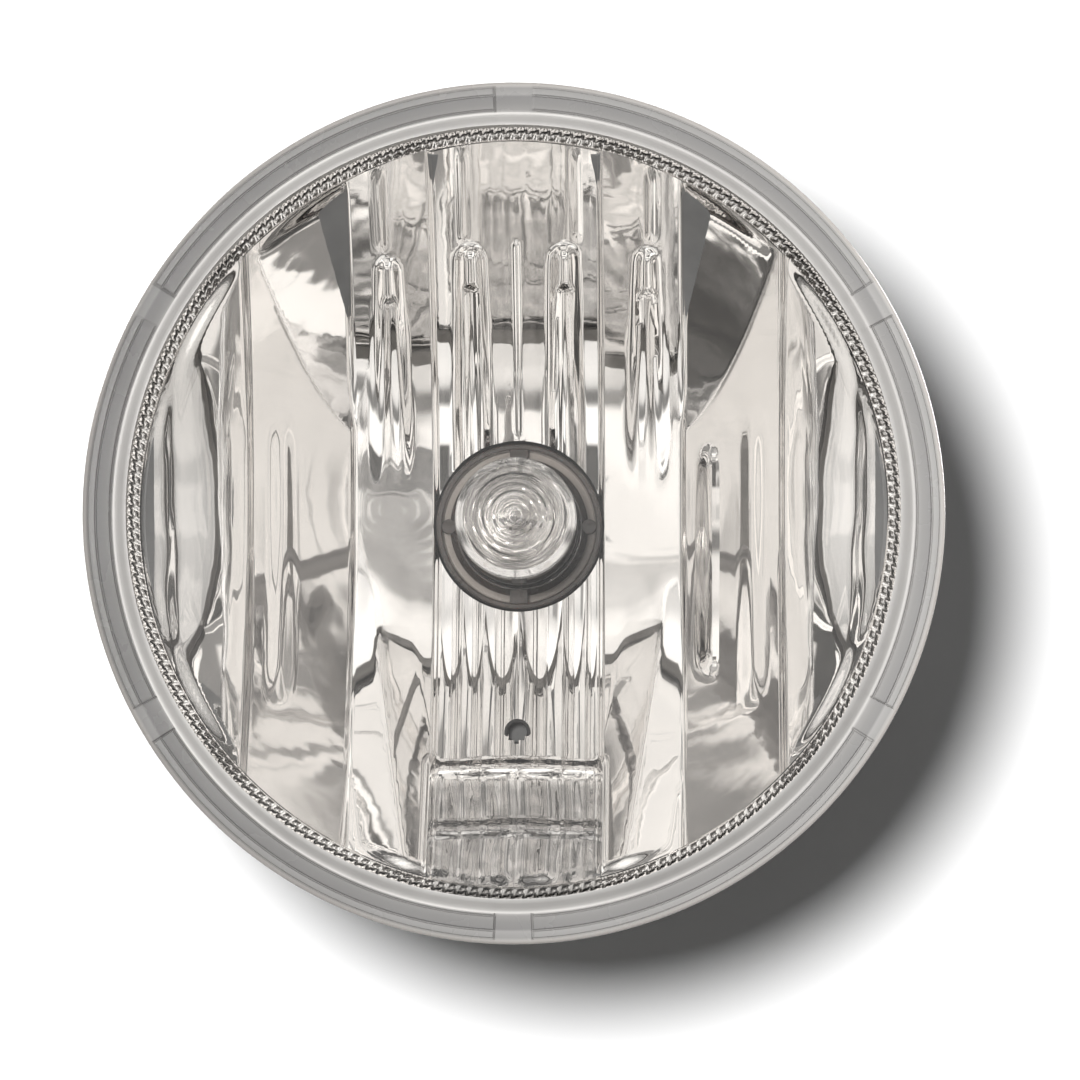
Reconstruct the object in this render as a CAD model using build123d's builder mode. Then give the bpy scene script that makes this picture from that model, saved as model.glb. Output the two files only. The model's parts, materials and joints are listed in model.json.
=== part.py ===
from build123d import *
import os
from math import cos, radians, sin, sqrt

os.makedirs("parts", exist_ok=True)

# Round fog lamp carried in a tilting yoke, in millimetres. The lamp's axis lies along Y
# with the lens towards -Y, +Z is up, and the origin is the centre of the bolt circle on
# the yoke's rear face. Depths are counted rearwards from the crown of the lens.

# ---- Lamp ----------------------------------------------------------------------------
overall_depth = 90.0
lens_radius = 55.0
lens_wall = 2.6
lens_sag = 2.0
window_radius = 49.1
flange_inner_radius = 50.9
flange_front = 4.6
flange_back = 7.0
edge_round = 0.8
skirt_inner_radius = 53.2
skirt_end = 13.0

seal_inner_radius = 50.4
seal_outer_radius = 52.9
seal_back = 8.2

rim_radius = 53.0
rim_bore_radius = 50.0
lip_radius = 54.6
lip_front = 13.3
lip_back = 15.6
ledge_depth = 10.0
bowl_radius = 50.5
bowl_mid = (40.5, 33.0)
bowl_end = (24.0, 48.5)
cavity_radius = 48.1
cavity_mid = (38.6, 31.4)
cavity_end = (21.6, 47.0)
neck_radius = 17.5
neck_start = 51.5
neck_floor = 50.0
neck_end = 60.0

focal_length = 16.0
vertex_depth = 42.75
mirror_radius = 47.7
mirror_rim_radius = 49.8
mirror_wall = 2.2
mirror_hole_radius = 11.3

rib_count = 12
rib_half = 0.9
rib_root_overlap = 1.0
rib_root_end = 58.5
rib_knee = (21.0, 56.5)
rib_outer_low = (44.0, 31.5)
rib_outer_high = (46.0, 24.0)
rib_inner = (40.0, 30.0)

# ---- Reflector fixing ----------------------------------------------------------------
post_circle_radius = 32.0
post_count = 3
post_radius = 3.2
post_start = 22.0
post_end = 34.4
pilot_radius = 2.0
pilot_end = 29.6
seat_radius = 5.8
seat_end = 43.5
seat_floor = 39.5
seat_hole_radius = 2.1
seat_bore_radius = 4.3
small_shank_radius = 1.9
small_head_radius = 3.8
small_head_height = 2.4
small_tip_gap = 0.4
cross_length = 4.4
cross_width = 1.1
cross_depth = 1.4

# ---- Aiming pivot --------------------------------------------------------------------
pivot_depth = 42.0
boss_radius = 8.0
boss_face_x = 43.5
insert_radius = 4.25
insert_bore_radius = 3.0
insert_length = 11.0
insert_gap = 0.05
insert_recess = 0.1
pivot_thread_radius = 2.95
pivot_thread_length = 9.5
shoulder_radius = 3.95
pivot_bore_radius = 4.0
bush_radius = 5.5
bush_flange_radius = 8.0
bush_flange = 1.2
washer_radius = 7.6
washer_thickness = 0.8
washer_gap = 0.1
pivot_head_radius = 7.0
pivot_head_height = 3.0
driver_across = 4.0
driver_depth = 2.0
head_chamfer = 0.6

# ---- Yoke ----------------------------------------------------------------------------
sheet = 2.5
bend_radius = 2.0
arm_inner_x = 45.0
arm_tip_radius = 9.5
arm_root_half = 14.0
web_radius = 49.5
window_hole_radius = 32.0
bolt_circle_radius = 39.0
bolt_count = 3
bolt_hole_radius = 3.3
arm_hole_radius = 5.55

# ---- Aiming screw --------------------------------------------------------------------
lever_arm = 45.0
tab_rear = -17.5
tab_half_width = 10.0
tab_top = -33.0
tab_bottom = -53.0
notch_radius = 6.5
tab_corner_radius = 5.0
slot_length = 20.0
slot_width = 8.0
ear_radius = 8.3
ear_half = 4.0
ear_bore_radius = 6.9
socket_radius = 6.8
socket_flange_radius = 8.3
socket_flange = 1.2
socket_cavity_radius = 5.35
socket_mouth_radius = 4.7
ball_radius = 5.0
ball_half = 4.0
nut_collar_radius = 3.9
nut_collar_end = 7.0
nut_block = 8.0
nut_block_end = 11.0
nut_block_round = 1.2
nut_bore_radius = 3.05
screw_radius = 3.0
screw_tip_depth = 36.0
screw_tip_chamfer = 0.8
groove_radius = 2.3
clip_thickness = 0.8
clip_radius = 5.0
tab_hole_radius = 4.7
grommet_radius = 4.6
grommet_bore_radius = 3.1
grommet_flange_radius = 7.0
grommet_flange = 1.1
running_gap = 0.05
screw_flange = 1.8
screw_flange_radius = 6.5
hex_across_flats = 8.0
hex_height = 4.5
hex_chamfer = 0.5

# ---- Bulb ----------------------------------------------------------------------------
glass_radius = 7.9
glass_wall = 0.9
glass_tip = 12.0
glass_end = 45.9
collar_radius = 10.95
collar_bore_radius = 8.0
collar_front = 40.6
collar_end = 46.0
collar_rim = 0.85
collar_recess = 1.6
collar_lug_width = 2.3
collar_stud_radius = 1.0
base_neck_radius = 10.4
base_guide_radius = 11.9
base_waist_radius = 10.9
lug_radius = 13.6
lug_width = 5.5
lug_overlap = 1.0
lug_front = 53.0
lug_back = 55.6
ledge_front = 56.0
groove_bore_radius = 14.2
ledge_bore_radius = 12.2
lug_slot_width = 7.0
lug_count = 3
unlock_angle = 30.0
ring_radius = 13.4
ring_section = 1.0
base_flange_front = 62.05
base_flange_radius = 16.0
base_flange = 3.0
base_body_radius = 12.0
base_body_end = 76.5
base_body_round = 2.0
shroud_depth = 70.5
shroud_width = 19.0
shroud_thickness = 11.5
shroud_top = 27.0
shroud_wall = 1.6
shroud_round = 2.0
shroud_inner_round = 1.0
socket_floor = 12.0
blade_spacing = 8.0
blade_width = 2.8
blade_thickness = 0.8
blade_top = 22.0
blade_chamfer = 0.2
stem_radius = 4.2
stem_front = 36.0
stem_round = 1.5
filament_depth = 26.75
filament_length = 6.0
filament_radius = 0.6
lead_radius = 0.35
lead_offset = 2.6
lead_bend_radius = 1.0

# ---- Breather ------------------------------------------------------------------------
vent_circle_radius = 24.0
vent_angle = 150.0
vent_tube_radius = 2.8
vent_bore_radius = 1.4
vent_tube_start = 47.5
vent_tube_end = 57.0
vent_bore_end = 40.0
vent_cap_radius = 4.4
vent_cap_front = 51.5
vent_cap_end = 59.0
vent_cap_round = 1.4
vent_cap_gap = 0.05


def station(depth):
    """Y of the plane that lies this far behind the crown of the lens."""
    return depth - overall_depth


def across(y):
    """Plane across the lamp's axis at y, with its normal towards the lens."""
    return Plane.XZ.offset(-y)


def at_depth(point):
    """Profile point for a radius and a depth."""
    radius, depth = point
    return (radius, station(depth))


def dome_depth(radius, shell):
    """Depth of the window's spherical skin at a radius, shell below its outer face."""
    crown_radius = (window_radius**2 + lens_sag**2) / (2 * lens_sag)
    return crown_radius - sqrt((crown_radius - shell) ** 2 - radius**2)


def mirror_depth(radius):
    """Depth of the reflecting paraboloid at a radius."""
    return vertex_depth - radius**2 / (4 * focal_length)


def parabola(inner, outer, shift):
    """Exact arc of the paraboloid's profile between two radii, moved back by shift."""
    middle = vertex_depth - inner * outer / (4 * focal_length)
    return Bezier(
        (inner, station(mirror_depth(inner) + shift)),
        ((inner + outer) / 2, station(middle + shift)),
        (outer, station(mirror_depth(outer) + shift)),
    )


def finish(piece, name):
    """Label a finished piece and write its file."""
    piece.part.label = name
    export_step(piece.part, f"parts/{name}.step")


pivot_y = station(pivot_depth)
arm_outer_x = arm_inner_x + sheet
tab_front = tab_rear - sheet
lever_z = -lever_arm
vent_x = vent_circle_radius * cos(radians(vent_angle))
vent_z = vent_circle_radius * sin(radians(vent_angle))

# ---- Lens: domed window, stepped shoulder, flat rim and a skirt over the housing ----
inner_window = window_radius - lens_wall / 2
with BuildPart() as lens:
    with BuildSketch(Plane.XY):
        with BuildLine():
            crown = ThreePointArc(
                (0, station(0)),
                (window_radius / 2, station(dome_depth(window_radius / 2, 0))),
                (window_radius, station(lens_sag)),
            )
            rim = Polyline(
                crown @ 1,
                (flange_inner_radius, station(flange_front)),
                (lens_radius - edge_round, station(flange_front)),
                (lens_radius, station(flange_front + edge_round)),
                (lens_radius, station(skirt_end)),
                (skirt_inner_radius, station(skirt_end)),
                (skirt_inner_radius, station(flange_back)),
                (window_radius, station(flange_back)),
                (inner_window, station(dome_depth(inner_window, lens_wall))),
            )
            inside = ThreePointArc(
                rim @ 1,
                (window_radius / 2, station(dome_depth(window_radius / 2, lens_wall))),
                (0, station(lens_wall)),
            )
            Line(inside @ 1, crown @ 0)
        make_face()
    revolve(axis=Axis.Y)
finish(lens, "lens")

# ---- Sealing bead between the lens rim and the housing rim ----
with BuildPart() as lens_seal:
    with BuildSketch(across(station(seal_back))):
        Circle(seal_outer_radius)
        Circle(seal_inner_radius, mode=Mode.SUBTRACT)
    extrude(amount=seal_back - flange_back)
finish(lens_seal, "lens_seal")

# ---- Housing: bowl with rim, ribs, pivot bosses, aiming ear and bulb neck ----
with BuildPart() as housing:
    with BuildSketch(Plane.XY):
        with BuildLine():
            rim = Polyline(
                (0, station(seal_back)),
                (rim_radius, station(seal_back)),
                (rim_radius, station(lip_front)),
                (lip_radius, station(lip_front)),
                (lip_radius, station(lip_back)),
                (bowl_radius, station(lip_back)),
            )
            bowl = ThreePointArc(rim @ 1, at_depth(bowl_mid), at_depth(bowl_end))
            Polyline(
                bowl @ 1,
                (neck_radius, station(neck_start)),
                (neck_radius, station(neck_end)),
                (0, station(neck_end)),
                rim @ 0,
            )
        make_face()
    revolve(axis=Axis.Y)
    with BuildSketch(Plane.YZ):
        with Locations((pivot_y, 0)):
            Circle(boss_radius)
    extrude(amount=boss_face_x, both=True)
    with BuildSketch(across(pivot_y + ear_half)):
        with Locations((0, lever_z)):
            Circle(ear_radius)
        with Locations((0, lever_z / 2)):
            Rectangle(2 * ear_radius, lever_arm)
    extrude(amount=2 * ear_half)
    rib_root = neck_radius - rib_root_overlap
    for index in range(rib_count):
        with BuildSketch(Plane.XY.rotated((0, 360 / rib_count * (index + 0.5), 0))):
            with BuildLine():
                Polyline(
                    (rib_root, station(neck_start)),
                    (rib_root, station(rib_root_end)),
                    at_depth(rib_knee),
                    at_depth(rib_outer_low),
                    at_depth(rib_outer_high),
                    at_depth(rib_inner),
                    (rib_root, station(neck_start)),
                )
            make_face()
        extrude(amount=rib_half, both=True)
    with BuildSketch(Plane.XY):
        with BuildLine():
            ledge = Polyline(
                (0, station(0)),
                (rim_bore_radius, station(0)),
                (rim_bore_radius, station(ledge_depth)),
                (cavity_radius, station(ledge_depth)),
                (cavity_radius, station(lip_back)),
            )
            cavity = ThreePointArc(ledge @ 1, at_depth(cavity_mid), at_depth(cavity_end))
            Polyline(
                cavity @ 1,
                (groove_bore_radius, station(neck_floor)),
                (groove_bore_radius, station(ledge_front)),
                (ledge_bore_radius, station(ledge_front)),
                (ledge_bore_radius, station(neck_end)),
                (0, station(neck_end)),
                ledge @ 0,
            )
        make_face()
    revolve(axis=Axis.Y, mode=Mode.SUBTRACT)
    # Slots that let the bulb's lugs in, turned from the locked place by the unlock angle
    with BuildSketch(across(station(ledge_front - 0.5))):
        radial = (groove_bore_radius + ledge_bore_radius) / 2
        with PolarLocations(radial, lug_count, start_angle=90 - unlock_angle):
            Rectangle(groove_bore_radius - ledge_bore_radius + lug_overlap, lug_slot_width)
    extrude(amount=-(neck_end - ledge_front + 1), mode=Mode.SUBTRACT)
    # Threaded-insert bores, ear bore, screw seats and the breather tube
    for side in (1, -1):
        with BuildSketch(Plane.YZ.offset(side * boss_face_x)):
            with Locations((pivot_y, 0)):
                Circle(insert_radius + insert_gap)
        extrude(amount=-side * (insert_length + insert_gap), mode=Mode.SUBTRACT)
    with BuildSketch(across(pivot_y + ear_half)):
        with Locations((0, lever_z)):
            Circle(ear_bore_radius)
    extrude(amount=2 * ear_half, mode=Mode.SUBTRACT)
    with BuildSketch(across(station(seat_end))):
        with PolarLocations(post_circle_radius, post_count, start_angle=90):
            Circle(seat_radius)
    extrude(amount=seat_end - post_end)
    with BuildSketch(across(station(seat_end))):
        with PolarLocations(post_circle_radius, post_count, start_angle=90):
            Circle(seat_bore_radius)
    extrude(amount=seat_end - seat_floor, mode=Mode.SUBTRACT)
    with BuildSketch(across(station(seat_end))):
        with PolarLocations(post_circle_radius, post_count, start_angle=90):
            Circle(seat_hole_radius)
    extrude(amount=seat_end - post_end, mode=Mode.SUBTRACT)
    with BuildSketch(across(station(vent_tube_end))):
        with Locations((vent_x, vent_z)):
            Circle(vent_tube_radius)
    extrude(amount=vent_tube_end - vent_tube_start)
    with BuildSketch(across(station(vent_tube_end))):
        with Locations((vent_x, vent_z)):
            Circle(vent_bore_radius)
    extrude(amount=vent_tube_end - vent_bore_end, mode=Mode.SUBTRACT)
finish(housing, "housing")

# ---- Reflector: paraboloid shell with a rim, a bulb hole and three screw posts ----
with BuildPart() as reflector:
    back_radius = (4 * focal_length * (vertex_depth + mirror_wall - ledge_depth)) ** 0.5
    with BuildSketch(Plane.XY):
        with BuildLine():
            back = parabola(0, back_radius, mirror_wall)
            Polyline(
                back @ 1,
                (mirror_rim_radius, station(ledge_depth)),
                (mirror_rim_radius, station(mirror_depth(mirror_radius))),
                (0, station(mirror_depth(mirror_radius))),
                back @ 0,
            )
        make_face()
    revolve(axis=Axis.Y)
    with BuildSketch(across(station(post_end))):
        with PolarLocations(post_circle_radius, post_count, start_angle=90):
            Circle(post_radius)
    extrude(amount=post_end - post_start)
    with BuildSketch(Plane.XY):
        with BuildLine():
            face = parabola(0, mirror_radius, 0)
            Polyline(face @ 1, (0, station(mirror_depth(mirror_radius))), face @ 0)
        make_face()
    revolve(axis=Axis.Y, mode=Mode.SUBTRACT)
    with BuildSketch(across(station(vertex_depth + mirror_wall))):
        Circle(mirror_hole_radius)
    extrude(amount=20, mode=Mode.SUBTRACT)
    with BuildSketch(across(station(post_end))):
        with PolarLocations(post_circle_radius, post_count, start_angle=90):
            Circle(pilot_radius)
    extrude(amount=post_end - pilot_end, mode=Mode.SUBTRACT)
finish(reflector, "reflector")

# ---- Screws that hold the reflector's posts to the housing ----
with BuildPart() as reflector_screws:
    with BuildSketch(across(station(seat_floor))):
        with PolarLocations(post_circle_radius, post_count, start_angle=90):
            Circle(small_shank_radius)
    extrude(amount=seat_floor - pilot_end - small_tip_gap)
    with BuildSketch(across(station(seat_floor + small_head_height))):
        with PolarLocations(post_circle_radius, post_count, start_angle=90):
            Circle(small_head_radius)
    extrude(amount=small_head_height)
    with BuildSketch(across(station(seat_floor + small_head_height))):
        with PolarLocations(post_circle_radius, post_count, start_angle=90):
            Rectangle(cross_length, cross_width)
            Rectangle(cross_width, cross_length)
    extrude(amount=cross_depth, mode=Mode.SUBTRACT)
finish(reflector_screws, "reflector_screws")

# ---- Breather cap on the housing's vent tube ----
with BuildPart() as vent_cap:
    with BuildSketch(across(station(vent_cap_end))):
        with Locations((vent_x, vent_z)):
            Circle(vent_cap_radius)
    extrude(amount=vent_cap_end - vent_cap_front)
    fillet(vent_cap.faces().sort_by(Axis.Y)[-1].edges(), vent_cap_round)
    with BuildSketch(across(station(vent_tube_end))):
        with Locations((vent_x, vent_z)):
            Circle(vent_tube_radius + vent_cap_gap)
    extrude(amount=vent_tube_end - vent_cap_front, mode=Mode.SUBTRACT)
finish(vent_cap, "vent_cap")

# ---- Threaded inserts, shoulder screws and washers of the aiming pivot ----
with BuildPart() as pivot_inserts:
    for side in (1, -1):
        with BuildSketch(Plane.YZ.offset(side * (boss_face_x - insert_recess))):
            with Locations((pivot_y, 0)):
                Circle(insert_radius)
                Circle(insert_bore_radius, mode=Mode.SUBTRACT)
        extrude(amount=-side * (insert_length - 2 * insert_recess))
finish(pivot_inserts, "pivot_inserts")

head_start_x = arm_outer_x + washer_gap + washer_thickness
with BuildPart() as pivot_screws:
    for side in (1, -1):
        with BuildSketch(Plane.YZ.offset(side * boss_face_x)):
            with Locations((pivot_y, 0)):
                Circle(pivot_thread_radius)
        extrude(amount=-side * pivot_thread_length)
        with BuildSketch(Plane.YZ.offset(side * boss_face_x)):
            with Locations((pivot_y, 0)):
                Circle(shoulder_radius)
        extrude(amount=side * (head_start_x - boss_face_x))
        with BuildSketch(Plane.YZ.offset(side * head_start_x)):
            with Locations((pivot_y, 0)):
                Circle(pivot_head_radius)
        extrude(amount=side * pivot_head_height)
        with BuildSketch(Plane.YZ.offset(side * (head_start_x + pivot_head_height))):
            with Locations((pivot_y, 0)):
                RegularPolygon(driver_across / 2, 6, major_radius=False)
        extrude(amount=-side * driver_depth, mode=Mode.SUBTRACT)
    chamfer(pivot_screws.faces().sort_by(Axis.X)[-1].outer_wire().edges(), head_chamfer)
    chamfer(pivot_screws.faces().sort_by(Axis.X)[0].outer_wire().edges(), head_chamfer)
finish(pivot_screws, "pivot_screws")

with BuildPart() as pivot_washers:
    for side in (1, -1):
        with BuildSketch(Plane.YZ.offset(side * head_start_x)):
            with Locations((pivot_y, 0)):
                Circle(washer_radius)
                Circle(pivot_bore_radius + washer_gap, mode=Mode.SUBTRACT)
        extrude(amount=-side * washer_thickness)
finish(pivot_washers, "pivot_washers")

# ---- Flanged bushes pressed into the yoke's arms ----
for side, name in ((-1, "pivot_bush_left"), (1, "pivot_bush_right")):
    with BuildPart() as pivot_bush:
        with BuildSketch(Plane.YZ.offset(side * arm_inner_x)):
            with Locations((pivot_y, 0)):
                Circle(bush_radius)
        extrude(amount=side * sheet)
        with BuildSketch(Plane.YZ.offset(side * arm_inner_x)):
            with Locations((pivot_y, 0)):
                Circle(bush_flange_radius)
        extrude(amount=-side * bush_flange)
        with BuildSketch(Plane.YZ.offset(side * arm_outer_x)):
            with Locations((pivot_y, 0)):
                Circle(pivot_bore_radius)
        extrude(amount=-side * (sheet + bush_flange), mode=Mode.SUBTRACT)
    finish(pivot_bush, name)

# ---- Yoke: one bent sheet with a round web, two arms and a joggled aiming tab ----
arm_reach = arm_tip_radius - pivot_y
with BuildPart() as bracket:
    with BuildSketch(Plane.XY):
        with BuildLine():
            outer = FilletPolyline(
                (-arm_outer_x, -arm_reach),
                (-arm_outer_x, 0),
                (arm_outer_x, 0),
                (arm_outer_x, -arm_reach),
                radius=bend_radius + sheet,
            )
            inner = FilletPolyline(
                (arm_inner_x, -arm_reach),
                (arm_inner_x, -sheet),
                (-arm_inner_x, -sheet),
                (-arm_inner_x, -arm_reach),
                radius=bend_radius,
            )
            Line(outer @ 1, inner @ 0)
            Line(inner @ 1, outer @ 0)
        make_face()
    extrude(amount=web_radius, both=True)
    bend_zone = bend_radius + sheet
    with BuildSketch(Plane.YZ):
        with BuildLine():
            Polyline(
                (0, web_radius),
                (-bend_zone, web_radius),
                (-bend_zone, arm_root_half),
                (pivot_y, arm_tip_radius),
                (pivot_y, -arm_tip_radius),
                (-bend_zone, -arm_root_half),
                (-bend_zone, -web_radius),
                (0, -web_radius),
                (0, web_radius),
            )
        make_face()
        with Locations((pivot_y, 0)):
            Circle(arm_tip_radius)
    extrude(amount=lens_radius, both=True, mode=Mode.INTERSECT)
    with BuildSketch(across(0)):
        Circle(web_radius)
    extrude(amount=arm_reach, mode=Mode.INTERSECT)
    with BuildSketch(Plane.YZ):
        with BuildLine():
            outer = FilletPolyline(
                (0, tab_top),
                (tab_front, tab_top),
                (tab_front, tab_bottom),
                radius=bend_radius + sheet,
            )
            inner = FilletPolyline(
                (tab_rear, tab_bottom),
                (tab_rear, tab_top - sheet),
                (0, tab_top - sheet),
                radius=bend_radius,
            )
            Line(outer @ 1, inner @ 0)
            Line(inner @ 1, outer @ 0)
        make_face()
    extrude(amount=tab_half_width, both=True)
    fillet(bracket.edges().filter_by(Axis.Y).group_by(Axis.Z)[0], tab_corner_radius)
    with BuildSketch(across(0)):
        Circle(window_hole_radius)
        with PolarLocations(bolt_circle_radius, bolt_count, start_angle=90):
            Circle(bolt_hole_radius)
        with Locations((0, lever_z)):
            Circle(notch_radius)
        with Locations((0, lever_z - notch_radius)):
            Rectangle(2 * notch_radius, 2 * notch_radius)
    extrude(amount=sheet, mode=Mode.SUBTRACT)
    with BuildSketch(across(tab_rear)):
        with Locations((0, lever_z)):
            Circle(tab_hole_radius)
    extrude(amount=sheet, mode=Mode.SUBTRACT)
    with BuildSketch(Plane.YZ):
        with Locations((pivot_y, 0)):
            Circle(arm_hole_radius)
        with Locations((pivot_y / 2, 0)):
            SlotOverall(slot_length, slot_width)
    extrude(amount=lens_radius, both=True, mode=Mode.SUBTRACT)
finish(bracket, "bracket")

# ---- Aiming screw held in the tab by a grommet, a washer and a clip ----
head_front = tab_rear + running_gap + washer_thickness + running_gap
grommet_front = tab_front - grommet_flange
clip_rear = grommet_front - running_gap
screw_tip = station(screw_tip_depth)
with BuildPart() as adjuster_screw:
    with BuildSketch(across(head_front)):
        with Locations((0, lever_z)):
            Circle(screw_radius)
    extrude(amount=head_front - screw_tip)
    chamfer(adjuster_screw.faces().sort_by(Axis.Y)[0].edges(), screw_tip_chamfer)
    with BuildSketch(across(head_front + screw_flange)):
        with Locations((0, lever_z)):
            Circle(screw_flange_radius)
    extrude(amount=screw_flange)
    with BuildSketch(across(head_front + screw_flange + hex_height)):
        with Locations((0, lever_z)):
            RegularPolygon(hex_across_flats / 2, 6, major_radius=False)
    extrude(amount=hex_height)
    chamfer(adjuster_screw.faces().sort_by(Axis.Y)[-1].edges(), hex_chamfer)
    with BuildSketch(across(clip_rear + running_gap)):
        with Locations((0, lever_z)):
            Circle(screw_radius + 1)
            Circle(groove_radius, mode=Mode.SUBTRACT)
    extrude(amount=clip_thickness + 2 * running_gap, mode=Mode.SUBTRACT)
finish(adjuster_screw, "adjuster_screw")

with BuildPart() as adjuster_clip:
    with BuildSketch(across(clip_rear)):
        with Locations((0, lever_z)):
            Circle(clip_radius)
            Circle(groove_radius + running_gap, mode=Mode.SUBTRACT)
        with Locations((0, lever_z + clip_radius)):
            Rectangle(2 * groove_radius, 2 * clip_radius, mode=Mode.SUBTRACT)
    extrude(amount=clip_thickness)
finish(adjuster_clip, "adjuster_clip")

with BuildPart() as adjuster_washer:
    with BuildSketch(across(tab_rear + running_gap + washer_thickness)):
        with Locations((0, lever_z)):
            Circle(grommet_flange_radius)
            Circle(grommet_bore_radius, mode=Mode.SUBTRACT)
    extrude(amount=washer_thickness)
finish(adjuster_washer, "adjuster_washer")

with BuildPart() as adjuster_bush:
    with BuildSketch(across(tab_rear)):
        with Locations((0, lever_z)):
            Circle(grommet_radius)
    extrude(amount=sheet)
    with BuildSketch(across(tab_front)):
        with Locations((0, lever_z)):
            Circle(grommet_flange_radius)
    extrude(amount=grommet_flange)
    with BuildSketch(across(tab_rear)):
        with Locations((0, lever_z)):
            Circle(grommet_bore_radius)
    extrude(amount=sheet + grommet_flange, mode=Mode.SUBTRACT)
finish(adjuster_bush, "adjuster_bush")

# ---- Ball nut on the screw, and the snap-in socket that it turns in ----
lever_point = (0, pivot_y, lever_z)
lever_axis_plane = Plane(origin=lever_point, x_dir=(1, 0, 0), z_dir=(0, -1, 0))
with BuildPart() as ball_nut:
    with Locations(lever_point):
        Sphere(ball_radius)
    with BuildSketch(lever_axis_plane):
        Circle(ball_radius + 1)
    extrude(amount=ball_half, both=True, mode=Mode.INTERSECT)
    with BuildSketch(lever_axis_plane):
        Circle(nut_collar_radius)
    extrude(amount=-nut_collar_end)
    with BuildSketch(lever_axis_plane.offset(-nut_collar_end)):
        RectangleRounded(nut_block, nut_block, nut_block_round)
    extrude(amount=-(nut_block_end - nut_collar_end))
    with BuildSketch(lever_axis_plane):
        Circle(nut_bore_radius)
    extrude(amount=nut_block_end + 1, both=True, mode=Mode.SUBTRACT)
finish(ball_nut, "ball_nut")

with BuildPart() as ball_socket:
    with BuildSketch(lever_axis_plane.offset(ear_half)):
        Circle(socket_radius)
    extrude(amount=-2 * ear_half)
    with BuildSketch(lever_axis_plane.offset(-ear_half)):
        Circle(socket_flange_radius)
    extrude(amount=-socket_flange)
    with BuildSketch(lever_axis_plane):
        Circle(socket_mouth_radius)
    extrude(amount=ear_half + socket_flange, both=True, mode=Mode.SUBTRACT)
    with Locations(lever_point):
        Sphere(socket_cavity_radius, mode=Mode.SUBTRACT)
finish(ball_socket, "ball_socket")

# ---- Bulb: glass capsule, stem, leads, filament, lugged collar and base ----
with BuildPart() as bulb_glass:
    with BuildSketch(Plane.XY):
        inner_radius = glass_radius - glass_wall
        with BuildLine():
            dome = CenterArc((0, station(glass_tip + glass_radius)), glass_radius, -90, 90)
            wall = Polyline(
                dome @ 1,
                (glass_radius, station(glass_end)),
                (inner_radius, station(glass_end)),
                (inner_radius, station(glass_tip + glass_radius)),
            )
            inside = CenterArc((0, station(glass_tip + glass_radius)), inner_radius, 0, -90)
            Line(inside @ 1, dome @ 0)
        make_face()
    revolve(axis=Axis.Y)
finish(bulb_glass, "bulb_glass")

with BuildPart() as bulb_stem:
    with BuildSketch(across(station(collar_end))):
        Circle(stem_radius)
    extrude(amount=collar_end - stem_front)
    fillet(bulb_stem.faces().sort_by(Axis.Y)[0].edges(), stem_round)
finish(bulb_stem, "bulb_stem")

near_end = filament_depth - filament_length / 2
far_end = filament_depth + filament_length / 2
with BuildPart() as bulb_filament:
    with BuildSketch(across(station(far_end))):
        Circle(filament_radius)
    extrude(amount=filament_length)
finish(bulb_filament, "bulb_filament")

lead_gap = filament_radius + lead_radius
with BuildPart() as bulb_leads:
    for side, end in ((-1, near_end), (1, far_end)):
        with BuildLine() as lead_line:
            FilletPolyline(
                (side * lead_offset, station(stem_front), 0),
                (side * lead_offset, station(end), 0),
                (side * lead_gap, station(end), 0),
                radius=lead_bend_radius,
            )
        with BuildSketch(Plane(origin=lead_line.line @ 0, z_dir=(0, -1, 0))):
            Circle(lead_radius)
        sweep(path=lead_line.line)
finish(bulb_leads, "bulb_leads")

with BuildPart() as bulb_collar:
    with BuildSketch(across(station(collar_end))):
        Circle(collar_radius)
        Circle(collar_bore_radius, mode=Mode.SUBTRACT)
    extrude(amount=collar_end - collar_front)
    with BuildSketch(across(station(collar_front))):
        Circle(collar_radius - collar_rim)
        Circle(collar_bore_radius, mode=Mode.SUBTRACT)
        with PolarLocations((collar_radius + collar_bore_radius) / 2, 2, start_angle=90):
            Rectangle(collar_radius, collar_lug_width, mode=Mode.SUBTRACT)
        with PolarLocations((collar_radius + collar_bore_radius) / 2 - collar_rim / 2, 2):
            Circle(collar_stud_radius, mode=Mode.SUBTRACT)
    extrude(amount=-collar_recess, mode=Mode.SUBTRACT)
finish(bulb_collar, "bulb_collar")

base_body_start = base_flange_front + base_flange
with BuildPart() as bulb_base:
    with BuildSketch(across(station(base_flange_front))):
        Circle(base_neck_radius)
    extrude(amount=base_flange_front - collar_end)
    with BuildSketch(across(station(base_flange_front))):
        Circle(base_guide_radius)
    extrude(amount=base_flange_front - lug_back)
    with BuildSketch(across(station(lug_back))):
        Circle(base_waist_radius)
        with PolarLocations((lug_radius + base_neck_radius) / 2, lug_count, start_angle=90):
            Rectangle(lug_radius - base_neck_radius + lug_overlap, lug_width)
        Circle(lug_radius, mode=Mode.INTERSECT)
    extrude(amount=lug_back - lug_front)
    with BuildSketch(across(station(base_body_start))):
        Circle(base_flange_radius)
    extrude(amount=base_flange)
    with BuildSketch(across(station(base_body_end))):
        Circle(base_body_radius)
    extrude(amount=base_body_end - base_body_start)
    fillet(bulb_base.faces().sort_by(Axis.Y)[-1].edges(), base_body_round)
    with BuildSketch(Plane.XY):
        with Locations((0, station(shroud_depth))):
            RectangleRounded(shroud_width, shroud_thickness, shroud_round)
    extrude(amount=shroud_top)
    with BuildSketch(Plane.XY.offset(shroud_top)):
        with Locations((0, station(shroud_depth))):
            RectangleRounded(
                shroud_width - 2 * shroud_wall,
                shroud_thickness - 2 * shroud_wall,
                shroud_inner_round,
            )
    extrude(amount=-(shroud_top - socket_floor), mode=Mode.SUBTRACT)
finish(bulb_base, "bulb_base")

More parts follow.
